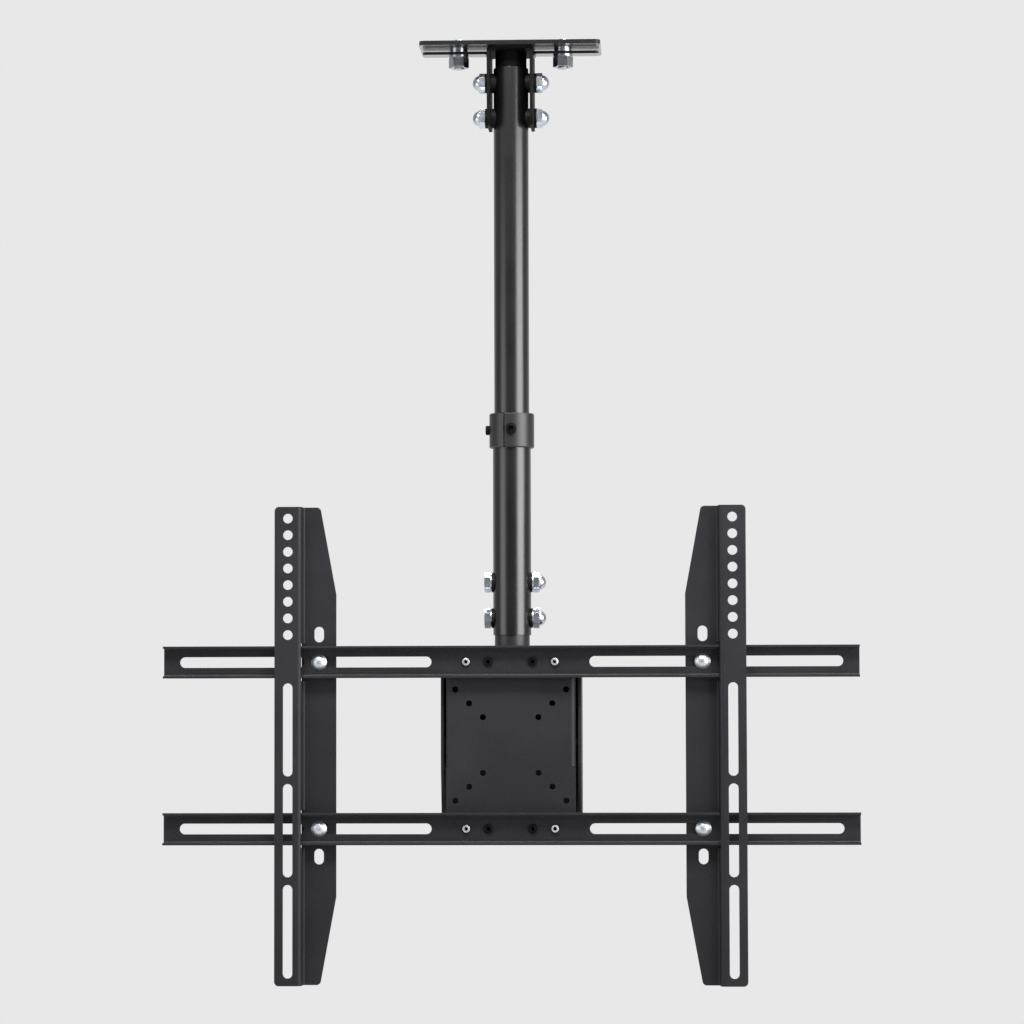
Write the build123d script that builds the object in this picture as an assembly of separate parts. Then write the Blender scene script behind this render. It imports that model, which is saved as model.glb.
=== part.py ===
from build123d import *
import os

# A ceiling mount for a television: a plate under the ceiling, a telescopic pole, a tilting head with
# hole patterns for small screens, and two rails that carry sliding arms for large screens.
# Millimetres, +Z up. The origin is on the ceiling plane, on the pole's axis. The screen hangs at -Y.

# Ceiling plate, the clevis's wings under it, and the anchors that clamp both
plate_width = 166.0
plate_depth = 64.0
plate_thickness = 4.0
plate_corner = 6.0
wing_depth = 15.0
wing_thickness = 2.6
wing_inset = 2.0
wing_corner = 3.0
wing_spacer = 2.0
wing_spacer_d = 16.5
anchor_spacing = 96.0
anchor_reach = 6.0
anchor_shank_d = 9.0

# Clevis under the plate, a sheet folded to an upside-down U
clevis_width = 42.1
clevis_sheet = 2.8
clevis_depth = 54.0
clevis_bend = 1.2
clevis_corner = 9.0
clevis_edge = 9.5
clevis_washer = 2.6

# Pole
upper_tube_d = 32.0
upper_tube_wall = 1.5
upper_tube_length = 406.5
tube_top_gap = 14.7
top_spigot_wall = 2.5
top_spigot_length = 82.0
clevis_bolt_inset = 12.9
pole_bolt_pitch = 32.6
lower_tube_wall = 1.1
lower_tube_length = 192.3
tube_overlap = 78.0
low_spigot_wall = 2.0
low_spigot_insert = 60.3
low_spigot_exposed = 29.7
low_bolt_inset = 15.5
pole_saddle = 1.2
pole_washer = 1.0
slide_gap = 0.25
spigot_gap = 0.1
low_spigot_gap = 0.3

# Collar on the top end of the lower tube, with the guide bush that it holds
collar_d = 41.0
collar_height = 31.5
collar_lip = 2.0
collar_lip_gap = 0.3
collar_split = 1.0
collar_split_angle = -108.0
collar_chamfer = 0.8
collar_fit = 0.05
collar_screw_drop = 15.0
collar_spot_d = 10.5
bush_height = 8.0
bush_gap = 0.1

# Tilting yoke, a sheet folded to a box that is open in front and below
yoke_sheet = 2.8
yoke_bend = 2.0
yoke_back = 24.0
yoke_front = -31.0
yoke_rise = 70.0
yoke_drop = 66.0
yoke_cut_start = -20.0
yoke_cut_front = -20.0
yoke_corner = 8.0
yoke_shelf_front = -22.0
weld_size = 3.0

# Head plate with ears
face_offset = 40.0
head_width = 116.6
head_height = 172.0
head_sheet = 2.5
head_bend = 1.5
head_corner = 4.0
head_hole_d = 5.6
head_hole_squares = (50.0, 75.0, 100.0)
ear_top = 64.0
ear_bottom = -19.5
ear_back_reach = 18.0
ear_corner = 11.0
ear_relief = 0.3

# Tilt joint
pivot_setback = 24.0
lock_radius = 30.0
tilt_forward = 15.0
tilt_back = 5.0
lock_slot_room = 2.0
tilt_washer_room = 2.4
hinge_gap = 0.1
side_gap = 0.05

# Rails
rail_length = 627.0
rail_height = 28.8
rail_depth = 10.5
rail_sheet = 2.0
rail_bend = 1.5
rail_spacing = 150.0
rail_slot_height = 9.6
rail_inner_slot = (71.2, 180.0)
rail_outer_slot_start = 186.4
rail_end_margin = 14.5
rail_screw_spacing = 80.0
rail_inner_spacing = 40.0

# Sliding arms, a sheet folded to a Z
arm_length = 430.0
arm_sheet = 2.0
arm_bend = 2.2
arm_hole_column = 200.0
arm_front_outer = 12.0
arm_web_inner = 12.5
arm_back_inner = 42.5
arm_front_room = 1.5
arm_slide_gap = 0.1
arm_corner = 4.0
arm_taper_length = 79.0
arm_taper = 14.5
arm_hole_d = 8.7
arm_hole_count = 8
arm_hole_pitch = 15.0
arm_hole_edge = 10.6
arm_slot_count = 3
arm_slot_start = 159.1
arm_slot_bridge = 6.8
arm_slot_edge = 6.8
arm_bolt_column = 27.0
arm_oblong_rise = 25.0
arm_oblong_height = 14.0
arm_notch_room = 2.5

# Fasteners: shank, width across flats or head width, heights and clearance holes
m10_d = 10.0
m10_flats = 16.0
m10_nut = 9.5
m10_head = 5.6
m10_cap = 11.6
m10_cap_hex = 5.5
m10_washer_d = 18.0
m10_washer = 2.0
m10_hole = 10.5
m8_d = 8.0
m8_flats = 13.0
m8_nut = 6.5
m8_washer_d = 16.0
m8_washer = 1.6
m8_dome_d = 14.3
m8_dome = 3.2
m8_neck = 8.0
m8_hole = 8.4
m6_d = 6.0
m6_flats = 10.0
m6_nut = 5.0
m6_washer_d = 12.0
m6_washer = 1.2
m6_hole = 6.6
m6_socket_d = 8.6
m6_socket_head = 4.2
m6_socket_flats = 5.0
m6_tip_gap = 0.3
m5_d = 5.0
m5_flats = 8.0
m5_nut = 4.0
m5_head_d = 6.8
m5_head = 2.6
m5_low_head_d = 8.2
m5_low_head = 1.8
m5_socket_flats = 3.0
m5_hole = 5.3
thread_tail = 2.5
nut_chamfer = 0.9
socket_share = 0.6

# Heights and depths that follow from the sizes above
plate_under = -plate_thickness
clevis_under = plate_under - clevis_sheet
tube_top = clevis_under - tube_top_gap
clevis_bolts = (tube_top - clevis_bolt_inset, tube_top - clevis_bolt_inset - pole_bolt_pitch)
clevis_bottom = clevis_bolts[1] - clevis_edge
top_spigot_bottom = clevis_under - top_spigot_length
tube_bottom = tube_top - upper_tube_length
low_top = tube_bottom + tube_overlap
low_bottom = low_top - lower_tube_length
low_bolts = (low_bottom + low_bolt_inset + pole_bolt_pitch, low_bottom + low_bolt_inset)
low_spigot_top = low_bottom + low_spigot_insert
yoke_top = low_bottom - low_spigot_exposed
head_z = yoke_top - yoke_rise
upper_r = upper_tube_d / 2
low_inner_r = upper_r + slide_gap
low_r = low_inner_r + lower_tube_wall
low_spigot_r = low_inner_r - low_spigot_gap
collar_top = low_top + bush_height + 2 * bush_gap + collar_lip
collar_bottom = collar_top - collar_height
collar_inner_r = low_r + collar_fit
face_y = -face_offset
head_back_y = face_y + head_sheet
pivot_y = face_y + pivot_setback
ear_x = head_width / 2
cheek_x = ear_x + tilt_washer_room + yoke_sheet
yoke_width = 2 * cheek_x
rail_front_y = face_y - rail_sheet
rail_lip_y = face_y - rail_depth
arm_back_front_y = face_y + arm_slide_gap
arm_back_y = arm_back_front_y + arm_sheet
arm_front_back_y = rail_lip_y - arm_front_room
arm_front_y = arm_front_back_y - arm_sheet
arm_bolt_x = arm_hole_column - arm_bolt_column

# Directions for pieces that are made standing on the XY plane
to_right = Rot(0, 90, 0)
to_left = Rot(0, -90, 0)
to_front = Rot(90, 0, 0)
to_back = Rot(-90, 0, 0)
downwards = Rot(180, 0, 0)
upright = 90


def rod(diameter, length):
    return Cylinder(diameter / 2, length, align=(Align.CENTER, Align.CENTER, Align.MIN))


def tube(outer_r, inner_r, top, bottom):
    return Pos(0, 0, bottom) * (rod(2 * outer_r, top - bottom) - rod(2 * inner_r, top - bottom))


def slab(width, depth, height, corner):
    """A plate on the XY plane with rounded upright corners."""
    return extrude(RectangleRounded(width, depth, corner), height)


def hexagon(flats, height):
    return extrude(RegularPolygon(flats / 2, 6, major_radius=False), height)


def chamfered_hexagon(flats, height, both_ends=True):
    """A hexagon whose corners are turned down to a cone at the far end, or at both ends."""
    corner_r = flats / 3**0.5
    turned = rod(2 * corner_r, height)
    ends = turned.edges().filter_by(GeomType.CIRCLE).sort_by(Axis.Z)
    chosen = ends if both_ends else ends[-1:]
    return hexagon(flats, height) & chamfer(chosen, nut_chamfer / 2, nut_chamfer)


def nut(flats, height, bore):
    return chamfered_hexagon(flats, height) - rod(bore, height)


def washer(outer_d, bore, thickness):
    return rod(outer_d, thickness) - rod(bore, thickness)


def spherical_cap(base_d, height):
    """A low dome with its flat on the XY plane."""
    sphere_r = (base_d**2 / 4 + height**2) / (2 * height)
    return Pos(0, 0, height - sphere_r) * Sphere(sphere_r) & rod(base_d, height)


def cap_nut(flats, hex_height, height, bore):
    """A hexagon with a domed cap, bored blind up to the root of the dome."""
    dome = Pos(0, 0, hex_height) * spherical_cap(flats - 2 * nut_chamfer, height - hex_height)
    return chamfered_hexagon(flats, hex_height) + dome - rod(bore, hex_height)


def hex_bolt(flats, head, diameter, length):
    """Head below the XY plane, shank above it."""
    return downwards * chamfered_hexagon(flats, head, both_ends=False) + rod(diameter, length)


def socket_screw(head_d, head, socket, diameter, length):
    """Round head with a hexagon socket, below the XY plane, and a shank above it."""
    turned = rod(head_d, head)
    turned = fillet(turned.edges().filter_by(GeomType.CIRCLE).sort_by(Axis.Z)[-1], head / 4)
    depth = head * socket_share
    turned -= Pos(0, 0, head - depth) * hexagon(socket, depth)
    return downwards * turned + rod(diameter, length)


def carriage_bolt(length):
    """Domed head below the XY plane, then a square neck and a shank."""
    dome = downwards * spherical_cap(m8_dome_d, m8_dome)
    neck = Box(m8_neck, m8_neck, rail_sheet, align=(Align.CENTER, Align.CENTER, Align.MIN))
    return dome + neck + rod(m8_d, length)


def group(solids):
    return Compound(children=[piece if isinstance(piece, Solid) else piece.solid() for piece in solids])


def sheet_along(points, bend, thickness, side):
    """The cross-section of a folded sheet, on one side of a line with rounded bends."""
    return make_face(offset(FilletPolyline(*points, radius=bend), amount=thickness, side=side))


parts = {}

# Ceiling plate with its anchors. The studs stand in the ceiling on a plain shank, thinner than the
# rolled thread below it. Their nuts draw up two flat wings, which are welded to the clevis's cheeks
# and press the plate to the ceiling through spacers.
anchor_places = [Pos(side * anchor_spacing / 2, 0, 0) for side in (-1, 1)]
wing_length = (plate_width - clevis_width) / 2 - wing_inset
wing_top = plate_under - wing_spacer
wing_under = wing_top - wing_thickness
plate = Pos(0, 0, plate_under) * slab(plate_width, plate_depth, plate_thickness, plate_corner)
wings = []
for side in (-1, 1):
    wing_x = side * (clevis_width / 2 + wing_length / 2)
    wings.append(Pos(wing_x, 0, wing_under) * slab(wing_length, wing_depth, wing_thickness, wing_corner))
for place in anchor_places:
    bore = place * Pos(0, 0, wing_under) * rod(m10_hole, -wing_under)
    plate -= bore
    wings = [wing - bore for wing in wings]
nut_face = wing_under - m10_washer
stud_bottom = nut_face - m10_nut - thread_tail / 2
parts["ceiling_plate"] = plate
parts["clevis_wings"] = group(wings)
parts["anchor_spacers"] = group(
    place * Pos(0, 0, wing_top) * washer(wing_spacer_d, m10_hole, wing_spacer) for place in anchor_places
)
anchor_stud = Pos(0, 0, stud_bottom) * rod(m10_d, -stud_bottom) + rod(anchor_shank_d, anchor_reach)
parts["anchor_studs"] = group(place * anchor_stud for place in anchor_places)
parts["anchor_washers"] = group(
    place * Pos(0, 0, nut_face) * washer(m10_washer_d, m10_hole, m10_washer) for place in anchor_places
)
parts["anchor_nuts"] = group(
    place * Pos(0, 0, nut_face) * downwards * nut(m10_flats, m10_nut, m10_d) for place in anchor_places
)

# Clevis, welded under the plate, with the spigot that goes up inside the pole
clevis_path = [
    (-clevis_width / 2, clevis_bottom),
    (-clevis_width / 2, plate_under),
    (clevis_width / 2, plate_under),
    (clevis_width / 2, clevis_bottom),
]
clevis_section = sheet_along(clevis_path, clevis_bend + clevis_sheet, clevis_sheet, Side.RIGHT)
clevis = extrude(Plane.XZ * clevis_section, clevis_depth / 2, both=True)
clevis_height = plate_under - clevis_bottom
clevis_outline = Rectangle(clevis_depth, clevis_height, align=(Align.CENTER, Align.MIN))
clevis_outline = fillet(clevis_outline.vertices().group_by(Axis.Y)[0], clevis_corner)
clevis &= extrude(Plane.YZ * Pos(0, clevis_bottom) * clevis_outline, clevis_width, both=True)
clevis_bolt_length = clevis_width + 2 * (clevis_washer + m10_cap_hex)
cross_places = [Pos(0, 0, height) for height in clevis_bolts]
top_spigot_r = upper_r - upper_tube_wall - spigot_gap
top_spigot = tube(top_spigot_r, top_spigot_r - top_spigot_wall, clevis_under, top_spigot_bottom)
upper_tube = tube(upper_r, upper_r - upper_tube_wall, tube_top, tube_bottom)
tube_core = Pos(0, 0, tube_bottom) * rod(upper_tube_d, upper_tube_length)
spacers = []
for place in cross_places:
    cross_bore = place * Pos(-clevis_width, 0, 0) * to_right * rod(m10_hole, 2 * clevis_width)
    clevis -= cross_bore
    top_spigot -= cross_bore
    upper_tube -= cross_bore
    for turn in (to_left, to_right):
        spacer = place * turn * rod(m10_washer_d, clevis_width / 2 - clevis_sheet)
        spacers.append(spacer - tube_core - cross_bore)
cross_ends = []
for place in cross_places:
    for turn in (to_left, to_right):
        cross_ends.append(place * turn * Pos(0, 0, clevis_width / 2))
parts["pole_clevis"] = clevis
parts["top_spigot"] = top_spigot
parts["upper_tube"] = upper_tube
parts["clevis_spacers"] = group(spacers)
parts["clevis_studs"] = group(
    place * Pos(-clevis_bolt_length / 2, 0, 0) * to_right * rod(m10_d, clevis_bolt_length)
    for place in cross_places
)
parts["clevis_washers"] = group(end * washer(m10_washer_d, m10_hole, clevis_washer) for end in cross_ends)
parts["clevis_cap_nuts"] = group(
    end * Pos(0, 0, clevis_washer) * cap_nut(m10_flats, m10_cap_hex, m10_cap, m10_d) for end in cross_ends
)

# Guide bush, a plastic ring that slides on the upper tube and turns inside the collar
bush_bottom = low_top + bush_gap
bush_top = bush_bottom + bush_height
parts["guide_bush"] = tube(collar_inner_r - bush_gap, upper_r + bush_gap, bush_top, bush_bottom)

# Lower tube and its split collar. Two socket screws through both clamp the upper tube.
collar_screw_z = collar_top - collar_screw_drop
lower_tube = tube(low_r, low_inner_r, low_top, low_bottom)
collar = tube(collar_d / 2, collar_inner_r, collar_top, collar_bottom)
collar = chamfer(collar.edges().filter_by(GeomType.CIRCLE).filter_by(
    lambda edge: edge.radius > collar_inner_r), collar_chamfer)
collar += tube(collar_inner_r, upper_r + collar_lip_gap, collar_top, collar_top - collar_lip)
split = Pos(0, 0, collar_bottom) * Box(
    collar_d, collar_split, collar_height, align=(Align.MIN, Align.CENTER, Align.MIN))
collar -= Rot(0, 0, collar_split_angle) * split
screw_seat = collar_d / 2 - m6_d / 8
screw_tip = upper_r + m6_tip_gap
collar_screws = []
for turn in (to_left, to_front):
    place = Pos(0, 0, collar_screw_z) * turn
    screw_bore = place * rod(m6_d, collar_d)
    spot_face = place * Pos(0, 0, screw_seat) * rod(collar_spot_d, collar_d)
    collar = collar - screw_bore - spot_face
    lower_tube -= screw_bore
    screw = socket_screw(m6_socket_d, m6_socket_head, m6_socket_flats, m6_d, screw_seat - screw_tip)
    collar_screws.append(place * Pos(0, 0, screw_seat) * downwards * screw)
parts["collar"] = collar
parts["collar_screws"] = group(collar_screws)

# Lower spigot, bolted into the lower tube and welded on the yoke's shelf
low_spigot = tube(low_spigot_r, low_spigot_r - low_spigot_wall, low_spigot_top, yoke_top)
low_core = Pos(0, 0, low_bottom) * rod(2 * low_r, lower_tube_length)
saddle_end = low_r + pole_saddle
saddles = []
bolt_places = [Pos(0, 0, height) for height in low_bolts]
for place in bolt_places:
    cross_bore = place * Pos(-collar_d, 0, 0) * to_right * rod(m10_hole, 2 * collar_d)
    lower_tube -= cross_bore
    low_spigot -= cross_bore
    for turn in (to_left, to_right):
        saddle = place * turn * rod(m10_washer_d, saddle_end)
        saddles.append(saddle - low_core - cross_bore)
seat_end = saddle_end + pole_washer
bolt_length = 2 * seat_end + m10_cap_hex
weld_outline = Polyline(
    (low_spigot_r, yoke_top),
    (low_spigot_r + weld_size, yoke_top),
    (low_spigot_r, yoke_top + weld_size),
    close=True,
)
weld_section = Plane.XZ * make_face(weld_outline)
parts["lower_tube"] = lower_tube
parts["lower_spigot"] = low_spigot
parts["spigot_weld"] = revolve(weld_section, Axis.Z)
parts["pole_saddles"] = group(saddles)
parts["pole_washers"] = group(
    place * turn * Pos(0, 0, saddle_end) * washer(m10_washer_d, m10_hole, pole_washer)
    for place in bolt_places for turn in (to_left, to_right)
)
parts["pole_bolts"] = group(
    place * Pos(-seat_end, 0, 0) * to_right * hex_bolt(m10_flats, m10_head, m10_d, bolt_length)
    for place in bolt_places
)
parts["pole_cap_nuts"] = group(
    place * Pos(seat_end, 0, 0) * to_right * cap_nut(m10_flats, m10_cap_hex, m10_cap, m10_d)
    for place in bolt_places
)

# Yoke: back and two cheeks in one fold, with a shelf folded forward that closes the top
yoke_bottom = head_z - yoke_drop
yoke_path = [
    (-cheek_x, yoke_front),
    (-cheek_x, yoke_back),
    (cheek_x, yoke_back),
    (cheek_x, yoke_front),
]
yoke_section = sheet_along(yoke_path, yoke_bend + yoke_sheet, yoke_sheet, Side.RIGHT)
yoke_height = yoke_rise + yoke_drop
cheek_outline = make_face(Polyline(
    (yoke_back, yoke_bottom),
    (yoke_back, yoke_top),
    (yoke_front, yoke_top),
    (yoke_front, head_z + yoke_cut_start),
    (yoke_cut_front, yoke_bottom),
    close=True,
))
cheek_outline = fillet(cheek_outline.vertices().filter_by(lambda corner: corner.X < 0), yoke_corner)
yoke = extrude(Pos(0, 0, yoke_bottom) * yoke_section, yoke_height)
yoke &= extrude(Plane.YZ * cheek_outline, yoke_width, both=True)
fold_depth = yoke_sheet + yoke_bend
fold_y = yoke_back - fold_depth
fold_half = cheek_x - fold_depth
yoke -= Pos(0, fold_y, yoke_top) * Box(
    2 * fold_half, 2 * fold_depth, fold_depth, align=(Align.CENTER, Align.MIN, Align.MAX))
shelf_path = [(yoke_back, yoke_top - 2 * fold_depth), (yoke_back, yoke_top), (yoke_shelf_front, yoke_top)]
shelf_fold = sheet_along(shelf_path, fold_depth, yoke_sheet, Side.LEFT)
yoke += extrude(Plane.YZ * shelf_fold, fold_half, both=True)
shelf_width = yoke_width - 2 * yoke_sheet
shelf = Box(shelf_width, fold_y - yoke_shelf_front, yoke_sheet, align=(Align.CENTER, Align.MAX, Align.MAX))
yoke += Pos(0, fold_y, yoke_top) * shelf
pivot_place = Pos(0, pivot_y, head_z)
lock_place = Pos(0, pivot_y, head_z + lock_radius)
yoke -= pivot_place * Pos(-yoke_width, 0, 0) * to_right * rod(m8_d, 2 * yoke_width)
yoke -= lock_place * Pos(-yoke_width, 0, 0) * to_right * rod(m6_d, 2 * yoke_width)
parts["tilt_yoke"] = yoke

# Head plate: the flat of the sheet carries the hole patterns, and two ears are bent back from it
head_edge = head_bend + head_sheet
head_flat = Plane.XZ * Pos(0, head_z) * RectangleRounded(head_width, head_height, head_corner)
head = Pos(0, head_back_y, 0) * extrude(head_flat, head_sheet)
ear_height = ear_top - ear_bottom
for side in (-1, 1):
    gap = Box(2 * head_edge, 2 * head_edge, ear_height + 2 * ear_relief)
    head -= Pos(side * ear_x, face_y, head_z + (ear_top + ear_bottom) / 2) * gap
ear_back = pivot_y + ear_back_reach
ear_path = [(-ear_x, ear_back), (-ear_x, face_y), (ear_x, face_y), (ear_x, ear_back)]
ear_section = sheet_along(ear_path, head_edge, head_sheet, Side.LEFT)
ears = extrude(Pos(0, 0, head_z + ear_bottom) * ear_section, ear_height)
ear_outline = Pos(0, ear_bottom) * Rectangle(ear_back - face_y, ear_height, align=(Align.MAX, Align.MIN))
ear_outline = fillet(ear_outline.vertices().group_by(Axis.X)[-1], ear_corner)
ears &= extrude(Plane.YZ * Pos(ear_back, head_z) * ear_outline, head_width, both=True)
head += ears
for square in head_hole_squares:
    for x in (-square / 2, square / 2):
        for z in (-square / 2, square / 2):
            head -= Pos(x, head_back_y, head_z + z) * to_front * rod(head_hole_d, head_sheet)
head -= pivot_place * Pos(-head_width, 0, 0) * to_right * rod(m8_d + 2 * hinge_gap, 2 * head_width)
lock_start = upright - tilt_forward - lock_slot_room
lock_sweep = tilt_forward + tilt_back + 2 * lock_slot_room
lock_arc = CenterArc((0, 0), lock_radius, lock_start, lock_sweep)
lock_slot = Plane.YZ * Pos(pivot_y, head_z) * SlotArc(lock_arc, m6_hole)
head -= extrude(lock_slot, head_width, both=True)

# Pivot and lock studs, pressed flush into each cheek. The ears turn on the pivot studs between plastic
# washers and nuts, and the lock studs' nuts clamp them through curved slots.
ear_inner = ear_x - head_sheet
pivot_seat = ear_inner - side_gap - m8_washer
lock_seat = ear_inner - side_gap - m6_washer
pivot_stud = downwards * rod(m8_d, cheek_x - pivot_seat + m8_nut + thread_tail)
lock_stud = downwards * rod(m6_d, cheek_x - lock_seat + m6_nut + thread_tail)
friction_bore = m8_d + 2 * hinge_gap
friction_room = tilt_washer_room - side_gap
outwards = (to_left, to_right)
parts["pivot_studs"] = group(pivot_place * turn * Pos(0, 0, cheek_x) * pivot_stud for turn in outwards)
parts["pivot_washers"] = group(
    pivot_place * turn * Pos(0, 0, pivot_seat) * washer(m8_washer_d, m8_d, m8_washer) for turn in outwards
)
parts["pivot_nuts"] = group(
    pivot_place * turn * Pos(0, 0, pivot_seat) * downwards * nut(m8_flats, m8_nut, m8_d) for turn in outwards
)
parts["friction_washers"] = group(
    pivot_place * turn * Pos(0, 0, ear_x) * washer(m8_washer_d, friction_bore, friction_room)
    for turn in outwards
)
parts["lock_studs"] = group(lock_place * turn * Pos(0, 0, cheek_x) * lock_stud for turn in outwards)
parts["lock_washers"] = group(
    lock_place * turn * Pos(0, 0, lock_seat) * washer(m6_washer_d, m6_d, m6_washer) for turn in outwards
)
parts["lock_nuts"] = group(
    lock_place * turn * Pos(0, 0, lock_seat) * downwards * nut(m6_flats, m6_nut, m6_d) for turn in outwards
)

# Rails: channels that open to the front, screwed on the head plate, with slots for the arms' bolts
rail_levels = {"upper_rail": head_z + rail_spacing / 2, "lower_rail": head_z - rail_spacing / 2}
rail_path = [
    (rail_lip_y, rail_height / 2),
    (face_y, rail_height / 2),
    (face_y, -rail_height / 2),
    (rail_lip_y, -rail_height / 2),
]
rail_outer_slot = (rail_outer_slot_start, rail_length / 2 - rail_end_margin)
rail_section = sheet_along(rail_path, rail_bend + rail_sheet, rail_sheet, Side.RIGHT)
bare_rail = extrude(Plane.YZ * rail_section, rail_length / 2, both=True)
for slot_start, slot_end in (rail_inner_slot, rail_outer_slot):
    slot = SlotOverall(slot_end - slot_start, rail_slot_height)
    for side in (-1, 1):
        slot_place = Pos(side * (slot_start + slot_end) / 2, face_y, 0)
        bare_rail -= slot_place * extrude(Plane.XZ * slot, rail_sheet)
screw_columns = [side * rail_screw_spacing / 2 for side in (-1, 1)]
inner_columns = [side * rail_inner_spacing / 2 for side in (-1, 1)]
screw_places = []
inner_places = []
for rail_z in rail_levels.values():
    screw_places += [Pos(x, rail_front_y, rail_z) for x in screw_columns]
    inner_places += [Pos(x, rail_front_y, rail_z) for x in inner_columns]
for place in screw_places + inner_places:
    head -= place * to_back * rod(m5_hole, rail_sheet + head_sheet)
for x in screw_columns + inner_columns:
    bare_rail -= Pos(x, rail_front_y, 0) * to_back * rod(m5_hole, rail_sheet)
rail_screw_length = rail_sheet + head_sheet + m5_nut + thread_tail
rail_screw = socket_screw(m5_head_d, m5_head, m5_socket_flats, m5_d, rail_screw_length)
low_screw = socket_screw(m5_low_head_d, m5_low_head, m5_socket_flats, m5_d, rail_screw_length)
rail_nut = Pos(0, 0, rail_sheet + head_sheet) * nut(m5_flats, m5_nut, m5_d)
parts["head_plate"] = head
for name, rail_z in rail_levels.items():
    parts[name] = Pos(0, 0, rail_z) * bare_rail
parts["rail_screws"] = group(place * to_back * rail_screw for place in screw_places)
parts["rail_inner_screws"] = group(place * to_back * low_screw for place in inner_places)
parts["rail_nuts"] = group(place * to_back * rail_nut for place in screw_places + inner_places)

# Arms: the outer flange takes the screen's bolts, the web is notched round the rails, and the inner
# flange lies behind the rails, where carriage bolts through the rail slots clamp it
front_edge = arm_hole_column + arm_front_outer
web_face = arm_hole_column - arm_web_inner
back_edge_x = arm_hole_column - arm_back_inner
arm_path = [
    (front_edge, arm_front_y),
    (web_face, arm_front_y),
    (web_face, arm_back_front_y),
    (back_edge_x, arm_back_front_y),
]
arm_line = FilletPolyline(*arm_path, radius=[arm_bend + arm_sheet, arm_bend])
arm_section = make_face(offset(arm_line, amount=arm_sheet, side=Side.RIGHT))
arm_outline = make_face(Polyline(
    (front_edge, arm_length / 2),
    (back_edge_x + arm_taper, arm_length / 2),
    (back_edge_x, arm_length / 2 - arm_taper_length),
    (back_edge_x, arm_taper_length - arm_length / 2),
    (back_edge_x + arm_taper, -arm_length / 2),
    (front_edge, -arm_length / 2),
    close=True,
))
end_corners = arm_outline.vertices().filter_by(lambda corner: abs(corner.Y) > arm_length / 2 - arm_corner)
arm_outline = fillet(end_corners, arm_corner)
arm = extrude(Pos(0, 0, -arm_length / 2) * arm_section, arm_length)
arm &= extrude(Plane.XZ * arm_outline, face_offset + arm_length, both=True)
slots_run = arm_length - arm_slot_start - arm_slot_edge + arm_slot_bridge
arm_slot_pitch = slots_run / arm_slot_count
arm_slot_length = arm_slot_pitch - arm_slot_bridge
through_front = Pos(arm_hole_column, arm_front_back_y, 0) * to_front
for index in range(arm_hole_count):
    hole_z = arm_length / 2 - arm_hole_edge - index * arm_hole_pitch
    arm -= Pos(0, 0, hole_z) * through_front * rod(arm_hole_d, arm_sheet)
for index in range(arm_slot_count):
    slot_z = -arm_length / 2 + arm_slot_edge + arm_slot_length / 2 + index * arm_slot_pitch
    slot = extrude(SlotOverall(arm_slot_length, arm_hole_d, rotation=90), arm_sheet)
    arm -= Pos(0, 0, slot_z) * through_front * slot
through_back = Pos(arm_bolt_x, arm_back_y, 0) * to_front
notch = Box(arm_sheet + 2 * arm_bend, arm_back_front_y - arm_front_back_y, rail_height + 2 * arm_notch_room,
            align=(Align.MIN, Align.MIN, Align.CENTER))
oblong = extrude(SlotOverall(arm_oblong_height, arm_hole_d, rotation=90), arm_sheet)
for side in (-1, 1):
    level = Pos(0, 0, side * rail_spacing / 2)
    arm -= level * Pos(web_face - arm_bend, arm_front_back_y, 0) * notch
    arm -= level * through_back * rod(m8_hole, arm_sheet)
    arm -= level * Pos(0, 0, side * arm_oblong_rise) * through_back * oblong
clamp_depth = rail_sheet + 2 * arm_slide_gap + arm_sheet
clamp_bolt = carriage_bolt(clamp_depth + m8_washer + m8_nut + thread_tail)
clamp_washer = Pos(0, 0, clamp_depth) * washer(m8_washer_d, m8_hole, m8_washer)
clamp_nut = Pos(0, 0, clamp_depth + m8_washer) * nut(m8_flats, m8_nut, m8_d)
clamp_y = rail_front_y - arm_slide_gap
for name, side in (("left_arm", -1), ("right_arm", 1)):
    arm_side = arm if side > 0 else mirror(arm, Plane.YZ)
    places = [Pos(side * arm_bolt_x, clamp_y, rail_z) * to_back for rail_z in rail_levels.values()]
    parts[name] = Pos(0, 0, head_z) * arm_side
    parts[name + "_bolts"] = group(place * clamp_bolt for place in places)
    parts[name + "_washers"] = group(place * clamp_washer for place in places)
    parts[name + "_nuts"] = group(place * clamp_nut for place in places)

os.makedirs("parts", exist_ok=True)
for name, shape in parts.items():
    export_step(shape, f"parts/{name}.step")
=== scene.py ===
import math

import bmesh
import bpy
from mathutils import Matrix, Vector


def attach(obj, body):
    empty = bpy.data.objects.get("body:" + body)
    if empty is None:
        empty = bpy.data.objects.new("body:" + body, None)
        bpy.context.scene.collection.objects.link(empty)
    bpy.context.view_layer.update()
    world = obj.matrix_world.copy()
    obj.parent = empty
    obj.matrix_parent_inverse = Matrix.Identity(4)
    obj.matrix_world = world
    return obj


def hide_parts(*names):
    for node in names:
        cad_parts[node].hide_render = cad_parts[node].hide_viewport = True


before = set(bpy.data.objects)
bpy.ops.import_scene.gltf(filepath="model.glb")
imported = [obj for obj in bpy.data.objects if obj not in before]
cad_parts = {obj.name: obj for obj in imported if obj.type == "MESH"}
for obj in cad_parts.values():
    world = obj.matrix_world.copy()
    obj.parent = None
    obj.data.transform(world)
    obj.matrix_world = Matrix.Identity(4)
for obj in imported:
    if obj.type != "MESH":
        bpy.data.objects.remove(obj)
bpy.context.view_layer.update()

# Ceiling plate and the two wings under it: flat steel, sawn to length and punched for the anchors.
# They are dipped in black enamel, which flows out smooth, so that the undersides mirror a pale room
# when they are seen at a low angle.


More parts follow.
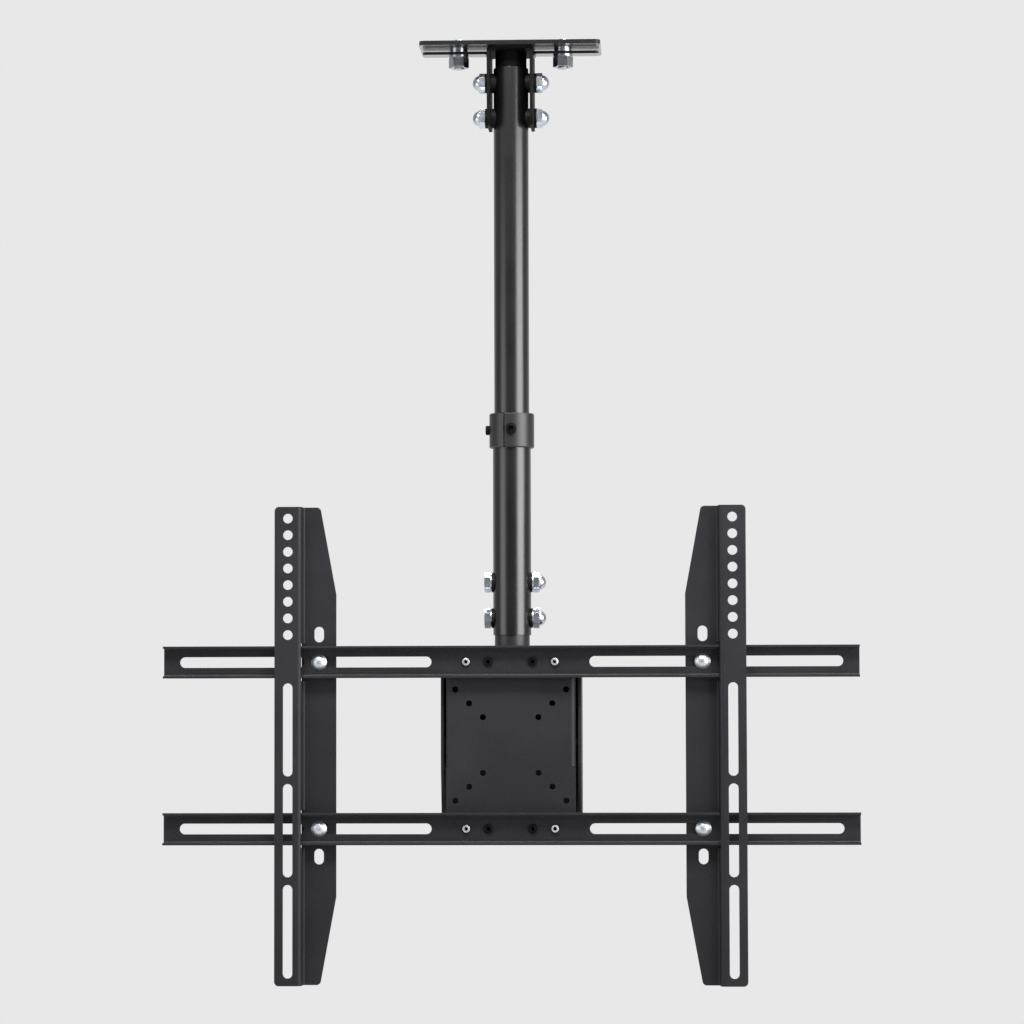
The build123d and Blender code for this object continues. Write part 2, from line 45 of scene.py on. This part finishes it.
class Shade:
    """A socket in a finish's nodes, with plain arithmetic."""

    def __init__(self, tree, socket=None):
        self.tree = tree
        self.socket = socket

    def node(self, kind, settings=None, inputs=None, output=0):
        made = self.tree.nodes.new(kind)
        for name, value in (settings or {}).items():
            setattr(made, name, value)
        for name, value in (inputs or {}).items():
            if isinstance(value, Shade):
                self.tree.links.new(value.socket, made.inputs[name])
            else:
                made.inputs[name].default_value = value
        return Shade(self.tree, made.outputs[output])

    def maths(self, operation, first, second):
        return self.node("ShaderNodeMath", {"operation": operation}, {0: first, 1: second})

    def __add__(self, other):
        return self.maths("ADD", self, other)

    __radd__ = __add__

    def __mul__(self, other):
        return self.maths("MULTIPLY", self, other)

    __rmul__ = __mul__

    def __sub__(self, other):
        return self.maths("SUBTRACT", self, other)

    def __rsub__(self, other):
        return self.maths("SUBTRACT", other, self)

    def mix(self, low, high):
        """One colour blended to another by this value."""
        settings = {"data_type": "RGBA", "clamp_factor": True}
        return self.node("ShaderNodeMix", settings, {0: self, 6: low, 7: high}, 2)

    def noise(self, place, scale, detail=2.0):
        inputs = {"Vector": place, "Scale": scale, "Detail": detail, "Roughness": 0.55}
        return self.node("ShaderNodeTexNoise", None, inputs)

    def between(self, low, high):
        """This value spread from 0 at low to 1 at high."""
        settings = {"clamp": True, "interpolation_type": "SMOOTHSTEP"}
        inputs = {"Value": self, "From Min": low, "From Max": high}
        return self.node("ShaderNodeMapRange", settings, inputs)


def finish_of(name, fixed, build):
    """A material whose shader has some fixed sockets, and others fed by what build returns."""
    material = bpy.data.materials.new(name)
    material.use_nodes = True
    tree = material.node_tree
    shader = tree.nodes["Principled BSDF"]
    for socket, value in fixed.items():
        shader.inputs[socket].default_value = value
    start = Shade(tree)
    place = start.node("ShaderNodeTexCoord", output="Object")
    for socket, value in build(start, place).items():
        tree.links.new(value.socket, shader.inputs[socket])
    return material


def enamel_build(start, place):
    flow = start.noise(place, 70.0, 2.0)
    dust = start.noise(place, 1300.0, 1.0).between(0.66, 0.76)
    colour = flow.mix((0.0045, 0.0045, 0.0050, 1), (0.0070, 0.0070, 0.0075, 1))
    rough = 0.17 + flow * 0.06 + dust * 0.15
    edge = start.node("ShaderNodeBevel", {"samples": 4}, {"Radius": 0.0003})
    inputs = {"Strength": 0.05, "Distance": 0.0003, "Height": flow, "Normal": edge}
    bump = start.node("ShaderNodeBump", None, inputs)
    return {"Base Color": colour, "Roughness": rough, "Normal": bump}


enamel_sockets = {"Specular IOR Level": 0.6, "Coat Weight": 1.0, "Coat Roughness": 0.14}
black_enamel = finish_of("black_enamel", enamel_sockets, enamel_build)


def dress(material, *nodes):
    """Puts a finish on some of the frame's nodes."""
    for node in nodes:
        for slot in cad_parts[node].material_slots:
            slot.material = material


dress(black_enamel, "ceiling_plate", "clevis_wings")

# Anchor studs with spacers, washers and nuts: cold-formed steel with rolled threads, plated with bright
# zinc and passivated, which leaves a blue-white metal with faint clouds. The plain shanks stand in the
# ceiling.


def zinc_build(start, place):
    clouds = start.noise(place, 160.0, 3.0).between(0.3, 0.7)
    streaks = start.noise(place, 900.0, 2.0)
    stain = start.noise(place, 420.0, 2.0).between(0.58, 0.74)
    colour = clouds.mix((0.44, 0.48, 0.55, 1), (0.58, 0.60, 0.65, 1))
    colour = (stain * 0.4).mix(colour, (0.34, 0.37, 0.42, 1))
    rough = 0.24 + clouds * 0.06 + streaks * 0.05
    edge = start.node("ShaderNodeBevel", {"samples": 4}, {"Radius": 0.0003})
    inputs = {"Strength": 0.02, "Distance": 0.0001, "Height": streaks, "Normal": edge}
    bump = start.node("ShaderNodeBump", None, inputs)
    return {"Base Color": colour, "Roughness": rough, "Normal": bump}


zinc_plate = finish_of("zinc_plate", {"Metallic": 1.0}, zinc_build)
dress(zinc_plate, "anchor_spacers", "anchor_washers", "anchor_nuts")


def turned(outline, steps=48):
    """A round solid from (radius, height) points, which start and end on the axis."""
    shape = bmesh.new()
    line = [shape.verts.new((radius, 0, height)) for radius, height in outline]
    runs = [shape.edges.new(pair) for pair in zip(line, line[1:])]
    bmesh.ops.spin(shape, geom=line + runs, axis=(0, 0, 1), cent=(0, 0, 0), angle=math.tau,
                   steps=steps, use_merge=True)
    bmesh.ops.remove_doubles(shape, verts=shape.verts, dist=1e-6)
    return shape


def threaded(radius, pitch, low, high, steps=28):
    """A length of rolled thread, closed at both ends."""
    outline_in_pitches = ((0.0, 0.6), (0.36, 0.08), (0.46, 0.0), (0.56, 0.08), (0.92, 0.6))
    shape = bmesh.new()
    line = []
    for turn in range(-1, int((high - low) / pitch) + 2):
        for part, depth in outline_in_pitches:
            height = low + (turn + part) * pitch
            line.append(shape.verts.new((radius - depth * pitch, 0, height)))
    runs = [shape.edges.new(pair) for pair in zip(line, line[1:])]
    bmesh.ops.spin(shape, geom=line + runs, axis=(0, 0, 1), cent=(0, 0, 0), dvec=(0, 0, pitch / steps),
                   angle=math.tau, steps=steps)
    bmesh.ops.remove_doubles(shape, verts=shape.verts, dist=1e-6)
    for level, out in ((low, -1), (high, 1)):
        everything = shape.verts[:] + shape.edges[:] + shape.faces[:]
        cut = bmesh.ops.bisect_plane(shape, geom=everything, plane_co=(0, 0, level), plane_no=(0, 0, out),
                                     clear_outer=True)
        rim = [part for part in cut["geom_cut"] if isinstance(part, bmesh.types.BMEdge)]
        bmesh.ops.triangle_fill(shape, use_beauty=True, edges=rim, normal=(0, 0, out))
    return shape


def gather(shapes, places):
    """The same shapes, repeated at some places, in one mesh."""
    joined = bmesh.new()
    scratch = bpy.data.meshes.new("scratch")
    for shape in shapes:
        bmesh.ops.recalc_face_normals(shape, faces=shape.faces)
        shape.to_mesh(scratch)
        for place in places:
            old = len(joined.verts)
            joined.from_mesh(scratch)
            joined.verts.ensure_lookup_table()
            bmesh.ops.transform(joined, matrix=place, verts=joined.verts[old:])
        shape.free()
    bpy.data.meshes.remove(scratch)
    return joined


def piece(name, shape, material, body, slot, *stands_for):
    """Makes an object of a finished shape, with soft shading except on sharp edges."""
    for face in shape.faces:
        face.smooth = True
    sharp = math.radians(32)
    for edge in shape.edges:
        edge.smooth = edge.is_manifold and edge.calc_face_angle(0) < sharp
    mesh = bpy.data.meshes.new(name)
    shape.to_mesh(mesh)
    shape.free()
    mesh.materials.append(material)
    made = bpy.data.objects.new(name, mesh)
    bpy.context.collection.objects.link(made)
    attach(made, body)
    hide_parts(*stands_for)
    return made


shank_r = 0.0045
shank_top = 0.006
shank_low = -0.002
shank_point = 0.0005
anchor_shank = turned([(0, shank_low), (shank_r, shank_low), (shank_r, shank_top - shank_point),
                       (shank_r - shank_point, shank_top), (0, shank_top)])
anchor_thread = threaded(radius=0.005, pitch=0.0015, low=-0.02135, high=0.0)
anchor_x = 0.048
anchor_places = [Matrix.Translation((x, 0, 0)) for x in (-anchor_x, anchor_x)]
anchor_shape = gather([anchor_shank, anchor_thread], anchor_places)
piece("threaded_anchor_studs", anchor_shape, zinc_plate, "ceiling_bracket", "zinc", "anchor_studs")

# Clevis, with the spigot that goes down from it into the pole, and its washers: a strip of steel folded
# to an upside-down U, and tube. The washers are blackened in a hot bath and oiled, which leaves a dull
# sheen; the clevis and spigot take the same near-black finish as painted shade, for the shade inside the
# clevis.


# Near-black steel with a dull sheen: real black oxide on the small steel parts, painted shade where it
# dresses the clevis, its web welds and the top spigot.
def oxide_and_shade_build(start, place):
    clouds = start.noise(place, 240.0, 3.0).between(0.3, 0.7)
    colour = clouds.mix((0.003, 0.003, 0.0033, 1), (0.0055, 0.0053, 0.0053, 1))
    rough = 0.52 + clouds * 0.12
    edge = start.node("ShaderNodeBevel", {"samples": 4}, {"Radius": 0.0003})
    return {"Base Color": colour, "Roughness": rough, "Normal": edge}


oxide_and_painted_shade = finish_of("oxide_and_painted_shade", {"Specular IOR Level": 0.06}, oxide_and_shade_build)
# Painted shade: the clevis and top spigot are dressed near-black for the shade inside the clevis.
dress(oxide_and_painted_shade, "pole_clevis", "top_spigot", "clevis_washers")

# Welds of the clevis: hand-laid beads that join its web to the plate, in front and behind, and the
# wings to its cheeks. Each keeps the ripples of the pool, and is black like the steel beside it.


def bead(length, size):
    """A rippled bead along X, in the corner between a wall at Y = 0 and a ceiling at Z = 0."""
    shape = bmesh.new()
    outline = [(0, 0), (0, -1), (-0.46, -0.80), (-0.80, -0.46), (-1, 0)]
    line = [shape.verts.new((0, y * size, z * size)) for y, z in outline]
    runs = [shape.edges.new(pair) for pair in zip(line, line[1:] + line[:1])]
    step_length = 0.0002
    steps = int(length / step_length)
    bmesh.ops.spin(shape, geom=line + runs, axis=(1, 0, 0), cent=(0, 0, 0), dvec=(length / steps, 0, 0),
                   angle=0, steps=steps)
    bmesh.ops.holes_fill(shape, edges=shape.edges)
    for corner in shape.verts:
        ripple = math.sin(3300 * corner.co.x + 700 * corner.co.z)
        near_end = min(corner.co.x, length - corner.co.x) / size
        fullness = min(1, 0.55 + 0.45 * near_end) * (0.95 + 0.05 * ripple)
        corner.co.y *= fullness
        corner.co.z *= fullness
    return shape


clevis_weld = 0.0022
plate_underside = -0.004
web_half_length = 0.015
web_half_depth = 0.027
web_bead = bead(2 * web_half_length, clevis_weld)
web_sides = [Matrix.Translation((-web_half_length, -web_half_depth, plate_underside)),
             Matrix.Translation((web_half_length, web_half_depth, plate_underside))
             @ Matrix.Rotation(math.pi, 4, "Z")]
web_shape = gather([web_bead], web_sides)
# Painted shade: the web welds take the clevis's near-black finish.
piece("clevis_web_welds", web_shape, oxide_and_painted_shade, "ceiling_bracket", "powder_black")
wing_underside = -0.0086
wing_half_depth = 0.0075
cheek_x = 0.02105
wing_bead = bead(2 * wing_half_depth, clevis_weld)
wing_sides = []
for side in (1, -1):
    bead_start = Matrix.Translation((side * cheek_x, -side * wing_half_depth, wing_underside))
    wing_sides.append(bead_start @ Matrix.Rotation(side * math.pi / 2, 4, "Z"))
wing_shape = gather([wing_bead], wing_sides)
piece("clevis_wing_welds", wing_shape, black_enamel, "ceiling_bracket", "powder_black")

# Cross studs of the clevis with their cap nuts, zinc-plated like the anchors, and the spacers between
# the clevis and the pole, which are moulded in black nylon, matt and slightly waxy.


def nylon_build(start, place):
    grain = start.noise(place, 1300.0, 2.0)
    flow = start.noise(place, 90.0, 2.0).between(0.35, 0.65)
    colour = flow.mix((0.0040, 0.0040, 0.0042, 1), (0.0060, 0.0060, 0.0063, 1))
    rough = 0.5 + flow * 0.1 + grain * 0.06
    bump = start.node("ShaderNodeBump", None, {"Strength": 0.15, "Distance": 0.0001, "Height": grain})
    return {"Base Color": colour, "Roughness": rough, "Normal": bump}


black_nylon = finish_of("black_nylon", {"Specular IOR Level": 0.12}, nylon_build)
dress(black_nylon, "clevis_spacers")
dress(zinc_plate, "clevis_studs", "clevis_cap_nuts")

# Pole: two drawn steel tubes, one inside the other. They are sprayed with satin black paint, smoother
# and shinier than the powder coat of the sheet parts, with faint drawing lines along them.


def satin_build(start, place):
    grain = start.noise(place, 1900.0, 1.0)
    along = start.node("ShaderNodeMapping", None, {"Vector": place, "Scale": (1.0, 1.0, 0.02)})
    drawn = start.noise(along, 420.0, 2.0)
    clouds = start.noise(place, 22.0, 3.0).between(0.3, 0.7)
    colour = clouds.mix((0.0016, 0.0016, 0.0017, 1), (0.0027, 0.0026, 0.0028, 1))
    rough = 0.25 + clouds * 0.03 + drawn * 0.05
    edge = start.node("ShaderNodeBevel", {"samples": 4}, {"Radius": 0.0004})
    height = grain * 0.7 + drawn * 0.3
    inputs = {"Strength": 0.14, "Distance": 0.0001, "Height": height, "Normal": edge}
    bump = start.node("ShaderNodeBump", None, inputs)
    return {"Base Color": colour, "Roughness": rough, "Normal": bump}


satin_paint = finish_of("satin_paint", {"Specular IOR Level": 0.8}, satin_build)
dress(satin_paint, "upper_tube", "lower_tube")

# Collar that clamps the tubes: a turned steel ring, slit on one side and sprayed with half-matt black
# paint, with black socket screws. Inside it is a moulded nylon bush that guides the upper tube.


def ring_build(start, place):
    grain = start.noise(place, 1700.0, 1.0)
    clouds = start.noise(place, 30.0, 3.0).between(0.3, 0.7)
    colour = clouds.mix((0.0040, 0.0039, 0.0042, 1), (0.0060, 0.0058, 0.0062, 1))
    rough = 0.38 + clouds * 0.04 + grain * 0.04
    edge = start.node("ShaderNodeBevel", {"samples": 4}, {"Radius": 0.0005})
    inputs = {"Strength": 0.2, "Distance": 0.0001, "Height": grain, "Normal": edge}
    bump = start.node("ShaderNodeBump", None, inputs)
    return {"Base Color": colour, "Roughness": rough, "Normal": bump}


ring_paint = finish_of("ring_paint", {"Specular IOR Level": 0.7}, ring_build)
dress(ring_paint, "collar")
dress(oxide_and_painted_shade, "collar_screws")
dress(black_nylon, "guide_bush")

# Bolts through the lower tube: zinc-plated, with cap nuts on one side. Nylon saddles fit their flat
# washers to the round tube.
dress(zinc_plate, "pole_bolts", "pole_washers", "pole_cap_nuts")
dress(black_nylon, "pole_saddles")

# Lower spigot and the weld where it stands on the yoke: tube painted like the collar, and one bead laid
# round it by hand. The bead is coated with the yoke, in fine black powder that is baked on and leaves
# a slightly pebbled, half-matt skin.


def powder_build(start, place):
    pebbles = start.noise(place, 1500.0, 1.0)
    ripple = start.noise(place, 260.0, 2.0)
    clouds = start.noise(place, 14.0, 3.0).between(0.3, 0.7)
    specks = start.noise(place, 850.0, 1.0).between(0.58, 0.74)
    colour = clouds.mix((0.0090, 0.0087, 0.0112, 1), (0.0116, 0.0112, 0.0141, 1))
    colour = (specks * 0.6).mix(colour, (0.030, 0.029, 0.034, 1))
    rough = 0.44 + clouds * 0.05 + pebbles * 0.08
    edge = start.node("ShaderNodeBevel", {"samples": 4}, {"Radius": 0.0006})
    height = pebbles * 0.65 + ripple * 0.35
    inputs = {"Strength": 0.4, "Distance": 0.0002, "Height": height, "Normal": edge}
    bump = start.node("ShaderNodeBump", None, inputs)
    return {"Base Color": colour, "Roughness": rough, "Normal": bump}


powder_coat = finish_of("powder_coat", {"Specular IOR Level": 0.3}, powder_build)
dress(ring_paint, "lower_spigot")
weld_top = -0.572
weld_r = 0.01595
weld_size = 0.003
weld_bead = turned([(weld_r, weld_top), (weld_r + weld_size, weld_top),
                    (weld_r + 0.80 * weld_size, weld_top + 0.48 * weld_size),
                    (weld_r + 0.46 * weld_size, weld_top + 0.78 * weld_size),
                    (weld_r, weld_top + weld_size), (weld_r, weld_top)], 240)
for corner in weld_bead.verts:
    outwards = Vector((corner.co.x, corner.co.y, 0))
    bulge = outwards.length - weld_r
    ripple = math.sin(54 * math.atan2(corner.co.y, corner.co.x) - 900 * (corner.co.z - weld_top))
    corner.co += outwards.normalized() * 0.06 * bulge * (ripple - 1)
bmesh.ops.recalc_face_normals(weld_bead, faces=weld_bead.faces)
piece("rippled_weld", weld_bead, powder_coat, "lower_pole", "powder_black", "spigot_weld")

# Tilt joint: the folded yoke, and the head plate with ears that swing inside it, both sheet steel with
# powder coat. Black studs are pressed flush into the yoke's cheeks, with zinc washers and nuts inside,
# and nylon washers keep the ears from scraping.
dress(powder_coat, "tilt_yoke", "head_plate")
dress(black_nylon, "friction_washers")
dress(zinc_plate, "pivot_washers", "pivot_nuts", "lock_washers", "lock_nuts")
ear_y = -0.016
cheek_inside = 0.0603
cheek_outside = 0.0635
thread_end = 0.0605
for stud, radius, pitch, inner_x, height in (
        ("pivot", 0.004, 0.00125, 0.04515, -0.642), ("lock", 0.003, 0.001, 0.04705, -0.612)):
    sides = []
    for turn in (-90, 90):
        sides.append(Matrix.Translation((0, ear_y, height)) @ Matrix.Rotation(math.radians(turn), 4, "Y"))
    flush_end = turned([(0, cheek_inside), (radius, cheek_inside), (radius, cheek_outside),
                        (0, cheek_outside)])
    stud_thread = threaded(radius, pitch, inner_x, thread_end)
    stud_shape = gather([flush_end, stud_thread], sides)
    plain_node = stud + "_studs"
    piece("threaded_" + plain_node, stud_shape, oxide_and_painted_shade, "lower_pole", "black_steel", plain_node)

# Rails: channels folded from punched sheet, powder coated. Zinc and black socket screws hold them on
# the head plate, with zinc nuts behind. The screws' zinc is tumbled, which leaves it duller than on the
# nuts; its paler colour is painted light, a lit copy of the zinc that brightens the heads.


# Painted light: a paler copy of the zinc, so that screw heads and bolt domes look lit; the higher roughness
# is the tumbled finish.
def tumbled_lit_build(start, place):
    clouds = start.noise(place, 200.0, 3.0).between(0.3, 0.7)
    grain = start.noise(place, 1500.0, 2.0)
    colour = clouds.mix((0.56, 0.59, 0.64, 1), (0.71, 0.735, 0.77, 1))
    rough = 0.35 + clouds * 0.06 + grain * 0.06
    bump = start.node("ShaderNodeBump", None, {"Strength": 0.05, "Distance": 0.0001, "Height": grain})
    return {"Base Color": colour, "Roughness": rough, "Normal": bump}


# Painted light: this zinc is paler than the nuts' zinc, so that the heads look lit.
tumbled_lit_zinc = finish_of("tumbled_lit_zinc", {"Metallic": 1.0}, tumbled_lit_build)
dress(powder_coat, "upper_rail", "lower_rail")
dress(zinc_plate, "rail_nuts")
rail_heights = (-0.567, -0.717)
screw_seat_y = -0.042
screw_r = 0.0025
screw_pitch = 0.0008
screw_length = 0.011
neck_r = 0.0024
key_size = 0.003
to_the_back = Matrix.Rotation(math.radians(-90), 4, "X")
for name, column_x, head_r, head_height, material, slot in (
        ("rail_screws", 0.040, 0.0034, 0.0026, tumbled_lit_zinc, "zinc"),
        ("rail_inner_screws", 0.020, 0.0041, 0.0018, oxide_and_painted_shade, "black_steel")):
    places = []
    for x in (-column_x, column_x):
        for z in rail_heights:
            places.append(Matrix.Translation((x, screw_seat_y, z)) @ to_the_back)
    socket_depth = 0.6 * head_height
    round_off = head_height / 4
    head = bmesh.new()
    rings = []
    for radius, height in ((neck_r, 0), (head_r, 0), (head_r, round_off - head_height),
                           (head_r - 0.3 * round_off, 0.3 * round_off - head_height),
                           (head_r - round_off, -head_height)):
        ring = bmesh.ops.create_circle(head, segments=48, radius=radius,
                                       matrix=Matrix.Translation((0, 0, height)))
        rings.append(ring["verts"])
    for height in (-head_height, socket_depth - head_height):
        ring = bmesh.ops.create_circle(head, segments=48, radius=key_size / 3**0.5,
                                       matrix=Matrix.Translation((0, 0, height)))
        for corner in ring["verts"]:
            off_middle = math.atan2(corner.co.y, corner.co.x) % (math.pi / 3) - math.pi / 6
            corner.co.xy *= math.cos(math.pi / 6) / math.cos(off_middle)
        rings.append(ring["verts"])
    loops = [list({edge for corner in ring for edge in corner.link_edges}) for ring in rings]
    for first, second in zip(loops, loops[1:]):
        bmesh.ops.bridge_loops(head, edges=first + second)
    bmesh.ops.edgeloop_fill(head, edges=loops[-1])
    bmesh.ops.edgeloop_fill(head, edges=loops[0])
    screw_thread = threaded(screw_r, screw_pitch, 0, screw_length)
    screw_shape = gather([head, screw_thread], places)
    piece("threaded_" + name, screw_shape, material, "tilt_head", slot, name)

# Arms: sheet folded to a Z, punched and powder coated. Carriage bolts of tumbled zinc, painted paler as if
# lit, clamp them through the rails' slots: a domed head, a square neck that can't turn, and a rolled thread
# under the nut.
dress(powder_coat, "left_arm", "right_arm")
bolt_x = 0.173
bolt_seat_y = -0.0421
dome_r = 0.00715
dome_height = 0.0032
dome_rim = 0.0001
dome_steps = 11
sphere_r = (dome_r**2 + dome_height**2) / (2 * dome_height)
neck_side = 0.008
neck_height = 0.002
neck_round = 0.0006
for side, name in ((-1, "left_arm"), (1, "right_arm")):
    dress(zinc_plate, name + "_washers", name + "_nuts")
    places = []
    for z in rail_heights:
        places.append(Matrix.Translation((side * bolt_x, bolt_seat_y, z)) @ to_the_back)
    outline = [(0, 0), (0.98 * dome_r, 0), (dome_r, -dome_rim)]
    for step in range(1, dome_steps + 1):
        radius = dome_r * (1 - step / dome_steps)
        outline.append((radius, sphere_r - dome_height - (sphere_r**2 - radius**2) ** 0.5))
    dome = turned(outline, 64)
    neck = bmesh.new()
    neck_size = Matrix.Diagonal((neck_side, neck_side, neck_height, 1))
    bmesh.ops.create_cube(neck, size=1.0, matrix=Matrix.Translation((0, 0, neck_height / 2)) @ neck_size)
    corners = [edge for edge in neck.edges if abs(edge.verts[0].co.z - edge.verts[1].co.z) > neck_height / 2]
    bmesh.ops.bevel(neck, geom=corners, offset=neck_round, affect="EDGES", segments=3, profile=0.5,
                    material=-1)
    clamp_thread = threaded(radius=0.004, pitch=0.00125, low=0.0018, high=0.0148)
    bolt_shape = gather([dome, neck, clamp_thread], places)
    # Painted light: the carriage bolts wear the paler, lit-looking zinc.
    piece("threaded_" + name + "_bolts", bolt_shape, tumbled_lit_zinc, name, "zinc", name + "_bolts")

# Floor: a plain pale sheet, a room's height below the ceiling plate. It is a translucent light table,
# lit from below, so that it is as pale as the surround.
floor_height = -2.4
floor_half_width = 7.0
floor_mesh = bpy.data.meshes.new("floor")
floor_shape = bmesh.new()
bmesh.ops.create_grid(floor_shape, x_segments=1, y_segments=1, size=floor_half_width)
bmesh.ops.translate(floor_shape, verts=floor_shape.verts, vec=(0, 0, floor_height))
floor_shape.to_mesh(floor_mesh)
floor_shape.free()
floor = bpy.data.objects.new("floor", floor_mesh)
bpy.context.collection.objects.link(floor)


def floor_build(start, place):
    mottle = start.noise(place, 3.0, 3.0)
    sheet = mottle.mix((0.60, 0.60, 0.595, 1), (0.63, 0.63, 0.63, 1))
    glow = mottle.mix((0.78, 0.78, 0.775, 1), (0.81, 0.81, 0.81, 1))
    return {"Base Color": sheet, "Emission Color": glow}


pale_floor = finish_of("pale_floor", {"Roughness": 0.8, "Emission Strength": 0.78}, floor_build)
floor_mesh.materials.append(pale_floor)

# Studio light: a pale surround that is dim in front, behind the camera, one soft box high in front, two
# upright ones beside the pole, and a gentle one high behind it.
world = bpy.data.worlds.new("studio")
bpy.context.scene.world = world
world.use_nodes = True
surround = Shade(world.node_tree)
towards = surround.node("ShaderNodeTexCoord", output="Generated")
depth = surround.node("ShaderNodeSeparateXYZ", None, {"Vector": towards}, "Y")
beside = depth.between(-0.97, -0.62)
backdrop = depth.between(0.3, 0.9)
camera_ray = surround.node("ShaderNodeLightPath", output="Is Camera Ray")
glossy_ray = surround.node("ShaderNodeLightPath", output="Is Glossy Ray")
clear_ray = surround.node("ShaderNodeLightPath", output="Is Transmission Ray")
reflected = 0.14 + beside * 0.16 + backdrop * 0.505
diffuse_level = 0.25
shown_level = 0.805
shown_more = shown_level - diffuse_level
light = diffuse_level + camera_ray * shown_more + clear_ray * shown_more
light = light + glossy_ray * (reflected - diffuse_level)
shown = world.node_tree.nodes["Background"]
shown.inputs["Color"].default_value = (1, 1, 1, 1)
world.node_tree.links.new(light.socket, shown.inputs["Strength"])


def soft_box(name, place, aim, width, height, power):
    lamp = bpy.data.lights.new(name, "AREA")
    lamp.shape = "RECTANGLE"
    lamp.size = width
    lamp.size_y = height
    lamp.energy = power
    box = bpy.data.objects.new(name, lamp)
    box.location = place
    box.rotation_euler = (Vector(aim) - Vector(place)).to_track_quat("-Z", "Y").to_euler()
    box.visible_camera = False
    bpy.context.collection.objects.link(box)


soft_box("front_box", (0, -0.95, 0.80), (0, 0, -0.6), 1.6, 0.5, 52.0)
soft_box("right_box", (1.42, -0.90, -0.30), (0, 0, -0.3), 1.35, 1.0, 31.0)
soft_box("left_box", (-1.40, -0.98, -0.46), (0, 0, -0.4), 1.0, 0.85, 5.8)
soft_box("back_box", (0.3, 1.0, 2.2), (0, 0, -0.5), 1.5, 0.6, 60.0)

# Camera: level with the head and a little to its right, on a long lens. It looks slightly up, to take in
# the ceiling plate, and leans by a fraction of a degree.
swing = math.radians(2.5)
reach = 3.226
camera_data = bpy.data.cameras.new("camera")
sensor = 36.0
focal_share = 3532 / 1024
look_up = math.radians(3.11)
lean = math.radians(-0.14)
eye_height = -0.605
camera_data.sensor_width = sensor
camera_data.lens = focal_share * sensor
camera = bpy.data.objects.new("camera", camera_data)
aim = Matrix.Rotation(swing, 4, "Z") @ Matrix.Rotation(math.radians(90) + look_up, 4, "X")
aim = aim @ Matrix.Rotation(lean, 4, "Z")
eye = Matrix.Rotation(swing, 4, "Z") @ Vector((0.0, -reach, eye_height))
camera.matrix_world = Matrix.Translation(eye) @ aim
bpy.context.collection.objects.link(camera)
bpy.context.scene.camera = camera
bpy.context.scene.view_settings.view_transform = "Standard"
